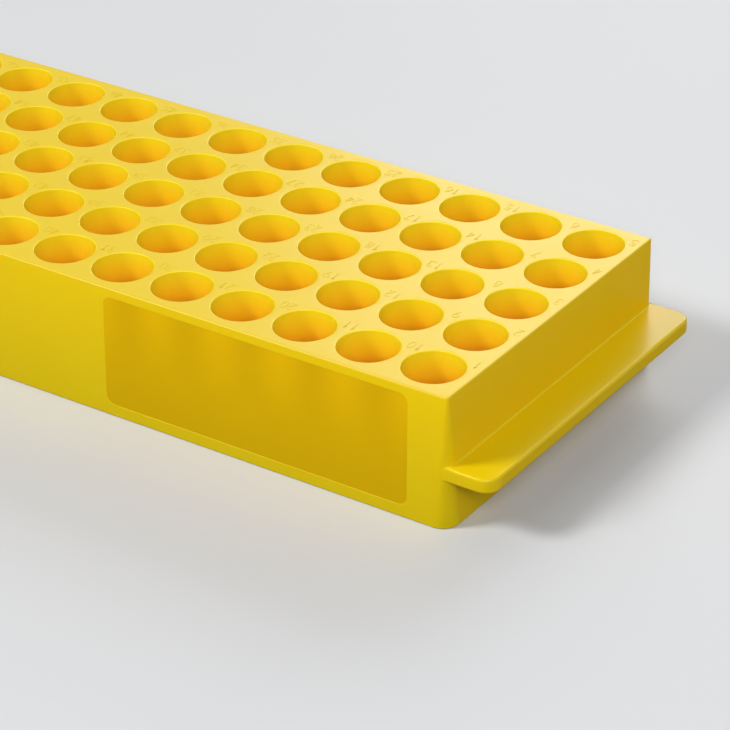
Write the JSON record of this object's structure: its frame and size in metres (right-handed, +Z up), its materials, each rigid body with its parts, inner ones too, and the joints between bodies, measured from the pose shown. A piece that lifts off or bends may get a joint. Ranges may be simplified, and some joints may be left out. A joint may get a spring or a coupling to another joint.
{
  "type": "microcentrifuge tube rack",
  "caption": "One-piece moulded plastic rack with a grid of numbered blind wells, a frosted writing panel and a lifting ledge at each end.",
  "frame": {"origin": "on the standing surface, under the middle of the deck", "axes": "+X along the rack towards the end with well 1, +Y across it away from the writing panel, +Z up"},
  "size_m": [0.2276, 0.0686, 0.0253],
  "materials": {
    "yellow_polypropylene": "semi-gloss moulded polypropylene, slightly translucent, matt frosted writing panel"
  },
  "bodies": {
    "root": {"rack_body": "yellow_polypropylene"}
  },
  "joints": []
}
